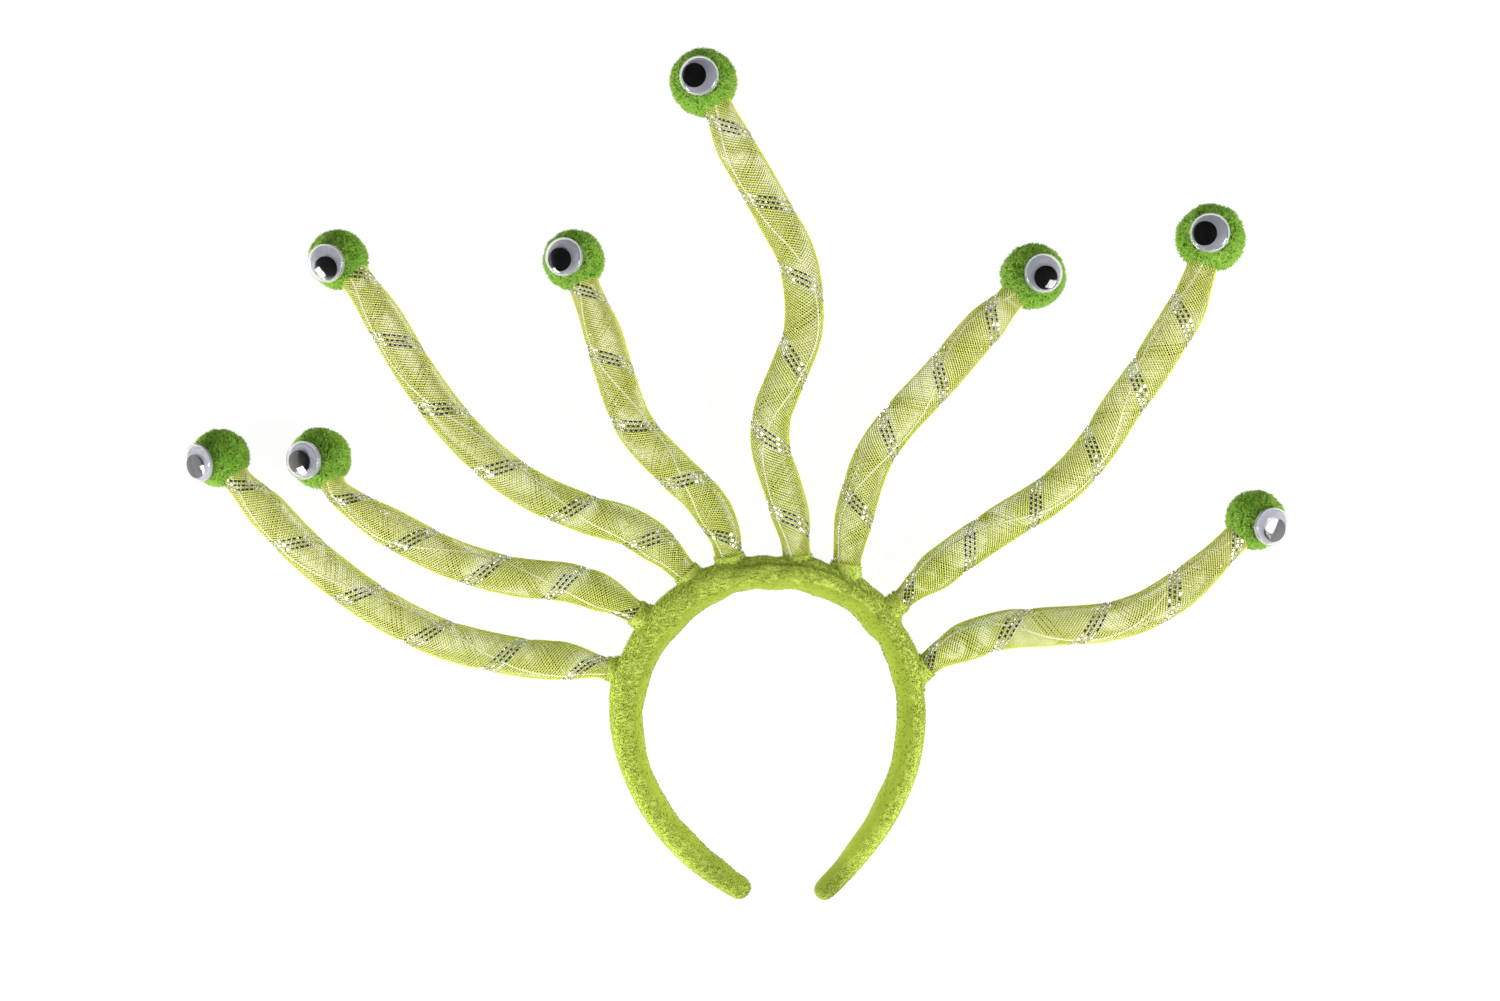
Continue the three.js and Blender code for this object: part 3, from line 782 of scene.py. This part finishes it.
def core_mesh(line):
    ball = bmesh.new()
    bmesh.ops.create_icosphere(ball, subdivisions=CORE_FINENESS, radius=line.ball_radius - YARN_DEPTH)
    bmesh.ops.translate(ball, verts=ball.verts, vec=Vector(line.ball))
    mesh = bpy.data.meshes.new(f"pompom_core_{line.number}")
    ball.to_mesh(mesh)
    ball.free()
    points, normals = vertex_arrays(mesh)
    points += normals * (CORE_LUMP * mottle(points, CORE_LUMP_SIZE, CORE_SEED))[:, None]
    above_dent = (points - line.eye) @ line.facing + DENT_GAP
    points -= np.maximum(above_dent, 0)[:, None] * line.facing
    clear_floor(points)
    mesh.vertices.foreach_set("co", points.astype(np.float32).ravel())
    mesh.shade_smooth()
    return mesh


def yarn_mesh(line):
    draw = np.random.default_rng(YARN_SEED + line.number)
    ways = unit(draw.normal(size=(YARN_ENDS, 3)))
    eye_angle = math.asin(EYE_ACROSS / 2 / line.ball_radius) + EYE_MARGIN
    neck_angle = math.asin((line.neck / 2 - NECK_OVERLAP) / line.ball_radius)
    at_eye = ways @ line.facing > math.cos(eye_angle)
    at_neck = ways @ line.inward > math.cos(neck_angle)
    ways = ways[~(at_eye | at_neck)]
    lean = unit(ways + YARN_STRAY * draw.normal(size=ways.shape))
    clumps = mottle(ways * line.ball_radius, YARN_CLUMP, YARN_CLUMP_SEED + line.number)
    uneven = CLUMP_UNEVEN * clumps + END_UNEVEN * draw.normal(size=len(ways))
    reach = 1 + YARN_UNEVEN * np.clip(uneven - UNEVEN_DROP, UNEVEN_LEAST, UNEVEN_MOST)
    roots = line.ball + ways * (line.ball_radius - YARN_DEPTH - YARN_BURIED)
    tips = line.ball + lean * (line.ball_radius * reach)[:, None]
    return fibres(f"pompom_yarn_{line.number}", roots, tips, YARN_RADIUS, draw)


def yarn_finish():
    finish, tree, shader = new_finish("green_yarn")
    pile = attribute(tree, "pile")
    clump = patches(tree, 3 * MM, 0.35, 0.65)
    shade = patches(tree, 12 * MM, 0.35, 0.65)
    # Painted shade: the yarn is coloured darker toward its roots deep in the ball and lighter at its ends.
    # The core has no pile values, so it takes the dark root colour.
    roots = blend_colours(tree, clump, tint(106, 160, 46), tint(120, 172, 54))
    tips = blend_colours(tree, shade, tint(146, 196, 72), tint(172, 212, 94))
    green = blend_colours(tree, pile, roots, tips)
    set_inputs(tree, shader, Base_Color=green, Roughness=0.9, Specular_IOR_Level=0.15)
    set_inputs(tree, shader, Sheen_Weight=0.25, Sheen_Roughness=0.5, Sheen_Tint=tint(190, 225, 120))
    return finish


yarn = yarn_finish()
for line in lines:
    core = placed(f"pompom_core_{line.number}", core_mesh(line), yarn, "headband")
    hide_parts(f"pompom_{line.number}")
    placed(f"pompom_yarn_{line.number}", yarn_mesh(line), yarn, "headband")

# Googly eyes
# A clear moulded dome glued over a white card disc, with a loose black disc in between for the pupil. Each
# eye sits in its pompom's dent, and its pupil rides its own body, which rolls round the eye's middle.
DOME_WALL, DOME_SKIRT, DOME_HEIGHT = 0.6 * MM, 2.4 * MM, 5.2 * MM
BACK_THICK = 1 * MM
PUPIL_ACROSS, PUPIL_THICK = 11 * MM, 0.9 * MM
CARD_GAP = 0.3 * MM
ROUND_EDGE = 0.15 * MM
TURN_STEPS, TURN_WELD = 64, 0.001 * MM
ARC_STEPS = 14


def turned(name, profile, place):
    """A closed profile of radius and height spun about Z, then put in its place."""
    form = bmesh.new()
    verts = [form.verts.new((radius, 0, height)) for radius, height in profile]
    edges = [form.edges.new(pair) for pair in zip(verts, verts[1:])]
    bmesh.ops.spin(
        form,
        geom=verts + edges,
        cent=(0, 0, 0),
        axis=(0, 0, 1),
        angle=2 * math.pi,
        steps=TURN_STEPS,
        use_merge=True,
    )
    bmesh.ops.remove_doubles(form, verts=form.verts, dist=TURN_WELD)
    bmesh.ops.recalc_face_normals(form, faces=form.faces)
    bmesh.ops.transform(form, verts=form.verts, matrix=place)
    mesh = bpy.data.meshes.new(name)
    form.to_mesh(mesh)
    form.free()
    mesh.shade_smooth()
    return mesh


def rounded_disc(radius, thick):
    """The half profile of a disc with round edges, from the middle of its underside to that of its top."""
    arc = [math.radians(deg) for deg in (-90, -45, 0)]
    flat = radius - ROUND_EDGE
    lower = [(flat + ROUND_EDGE * math.cos(a), ROUND_EDGE + ROUND_EDGE * math.sin(a)) for a in arc]
    upper = [(r, thick - h) for r, h in reversed(lower)]
    return [(0, 0), (radius / 2, 0), *lower, *upper, (radius / 2, thick), (0, thick)]


def dome_profile():
    def shell(radius, height):
        arc = [math.pi / 2 * i / ARC_STEPS for i in range(ARC_STEPS + 1)]
        return [(radius * math.cos(a), DOME_SKIRT + (height - DOME_SKIRT) * math.sin(a)) for a in arc]

    outer = EYE_ACROSS / 2
    bore = outer - DOME_WALL
    foot = [(bore, 0), (outer - ROUND_EDGE, 0), (outer, ROUND_EDGE)]
    inside = shell(bore, DOME_HEIGHT - DOME_WALL)
    outside = shell(outer, DOME_HEIGHT)
    return [*reversed(inside), *foot, *outside]


def eye_white_finish():
    finish, tree, shader = new_finish("white_card")
    tone = patches(tree, 6 * MM, 0.3, 0.7)
    # The card is white. Its colour here is a bluish grey, painted shade for the dimmer light that reaches
    # it under the dome.
    shaded_white = blend_colours(tree, tone, tint(184, 186, 200), tint(196, 198, 210))
    set_inputs(tree, shader, Base_Color=shaded_white, Roughness=patches(tree, 1 * MM, -0.5, 2))
    return finish


def eye_black_finish():
    finish, tree, shader = new_finish("black_plastic")
    tone = patches(tree, 3 * MM, 0.3, 0.7)
    black = blend_colours(tree, tone, tint(14, 14, 16), tint(24, 23, 25))
    set_inputs(tree, shader, Base_Color=black, Roughness=patches(tree, 1.2 * MM, -0.2, 7))
    return finish


def eye_clear_finish():
    finish, tree, shader = new_finish("clear_plastic")
    set_inputs(tree, shader, Base_Color=(1, 1, 1, 1), Transmission_Weight=1.0, IOR=1.46)
    set_inputs(tree, shader, Roughness=patches(tree, 4 * MM, -0.2, 22))
    return finish


eye_white, eye_black, eye_clear = eye_white_finish(), eye_black_finish(), eye_clear_finish()
for line in lines:
    turn = Vector((0, 0, 1)).rotation_difference(Vector(line.facing)).to_matrix().to_4x4()
    seat = Matrix.Translation(Vector(line.eye)) @ turn
    back_radius = EYE_ACROSS / 2 - DOME_WALL - CARD_GAP
    back_form = turned(f"eye_card_{line.number}", rounded_disc(back_radius, BACK_THICK), seat)
    back = placed(f"eye_card_{line.number}", back_form, eye_white, "headband")
    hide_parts(f"eye_back_{line.number}")
    low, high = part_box(f"eye_pupil_{line.number}")
    middle = (low + high) / 2
    lay = Matrix.Translation(middle) @ turn @ Matrix.Translation((0, 0, -PUPIL_THICK / 2))
    pupil_form = turned(f"pupil_disc_{line.number}", rounded_disc(PUPIL_ACROSS / 2, PUPIL_THICK), lay)
    pupil = placed(f"pupil_disc_{line.number}", pupil_form, eye_black, f"pupil_{line.number}")
    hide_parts(f"eye_pupil_{line.number}")
    dome_form = turned(f"eye_shell_{line.number}", dome_profile(), seat)
    dome = placed(f"eye_shell_{line.number}", dome_form, eye_clear, "headband")
    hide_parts(f"eye_dome_{line.number}")

# Floor, light and camera
# A plain floor, lit from within until hardly a shadow shows on it, seen from straight above. It is dark
# overhead and bright all round, least behind the pompoms, with a soft light low on the left and a larger
# one higher on the right.
FLOOR_ACROSS = 12
FLOOR_DROP = 0.2 * MM
FLOOR_GLOW, FLOOR_PATCH = 0.94, 0.4
CAMERA_PLACE = Vector((7.05, -8.75, 1100)) * MM
CAMERA_LENS, CAMERA_SENSOR = 55.45, 36
LIGHT_AIM = Vector((0, 0, 0.02))
SOFT_LIGHTS = [
    {"name": "left", "place": (-0.9, -0.45, 0.5), "size": (0.37, 0.28), "watts": 8.5},
    {"name": "right", "place": (0.88, -0.28, 0.68), "size": (0.45, 0.5), "watts": 8.5},
]
SKY_STOPS = [(0.0, 1.0), (0.45, 1.0), (0.56, 0.15), (0.7, 0.03), (1.0, 0.02)]
SKY_STRENGTH = 2.1
SKY_DARK_SIDE, SKY_BRIGHT_SIDE = 2.1, -1.0


def floor_finish():
    finish, tree, shader = new_finish("pale_floor")
    tone = patches(tree, FLOOR_PATCH, 0.3, 0.7)
    grey = blend_colours(tree, tone, tint(110, 110, 110), tint(113, 113, 113))
    set_inputs(tree, shader, Base_Color=grey, Roughness=0.9, Specular_IOR_Level=0.1)
    set_inputs(tree, shader, Emission_Color=(1, 1, 1, 1), Emission_Strength=FLOOR_GLOW)
    return finish


def floor_mesh():
    form = bmesh.new()
    bmesh.ops.create_grid(form, x_segments=2, y_segments=2, size=FLOOR_ACROSS / 2)
    bmesh.ops.translate(form, verts=form.verts, vec=(0, 0, -FLOOR_DROP))
    mesh = bpy.data.meshes.new("floor")
    form.to_mesh(mesh)
    form.free()
    mesh.materials.append(floor_finish())
    return mesh


floor = bpy.data.objects.new("floor", floor_mesh())
bpy.context.scene.collection.objects.link(floor)

for row in SOFT_LIGHTS:
    lamp = bpy.data.lights.new(f"soft_{row['name']}", "AREA")
    lamp.shape = "RECTANGLE"
    lamp.size, lamp.size_y = row["size"]
    lamp.energy = row["watts"]
    holder = bpy.data.objects.new(f"soft_{row['name']}", lamp)
    holder.location = row["place"]
    holder.rotation_euler = (LIGHT_AIM - Vector(row["place"])).to_track_quat("-Z", "Y").to_euler()
    bpy.context.scene.collection.objects.link(holder)

world = bpy.data.worlds.new("studio")
world.use_nodes = True
bpy.context.scene.world = world
sky = world.node_tree
way = add_node(sky, "ShaderNodeTexCoord", {}).outputs["Generated"]
parts = add_node(sky, "ShaderNodeSeparateXYZ", {"Vector": way}).outputs
ramp = add_node(sky, "ShaderNodeValToRGB", {"Fac": parts["Z"]})
stops = ramp.color_ramp.elements
while len(stops) < len(SKY_STOPS):
    stops.new(0.5)
for stop, (at, level) in zip(stops, SKY_STOPS):
    stop.position = at
    stop.color = (level, level, level, 1)
sides = {
    "Value": parts["Y"],
    "From Min": SKY_DARK_SIDE,
    "From Max": SKY_BRIGHT_SIDE,
    "To Max": SKY_STRENGTH,
}
strength = add_node(sky, "ShaderNodeMapRange", sides).outputs["Result"]
set_inputs(sky, sky.nodes["Background"], Color=ramp.outputs["Color"], Strength=strength)
bpy.context.scene.view_settings.view_transform = "Standard"

lens = bpy.data.cameras.new("camera")
lens.sensor_width = CAMERA_SENSOR
lens.lens = CAMERA_LENS
camera = bpy.data.objects.new("camera", lens)
camera.location = CAMERA_PLACE
bpy.context.scene.collection.objects.link(camera)
bpy.context.scene.camera = camera
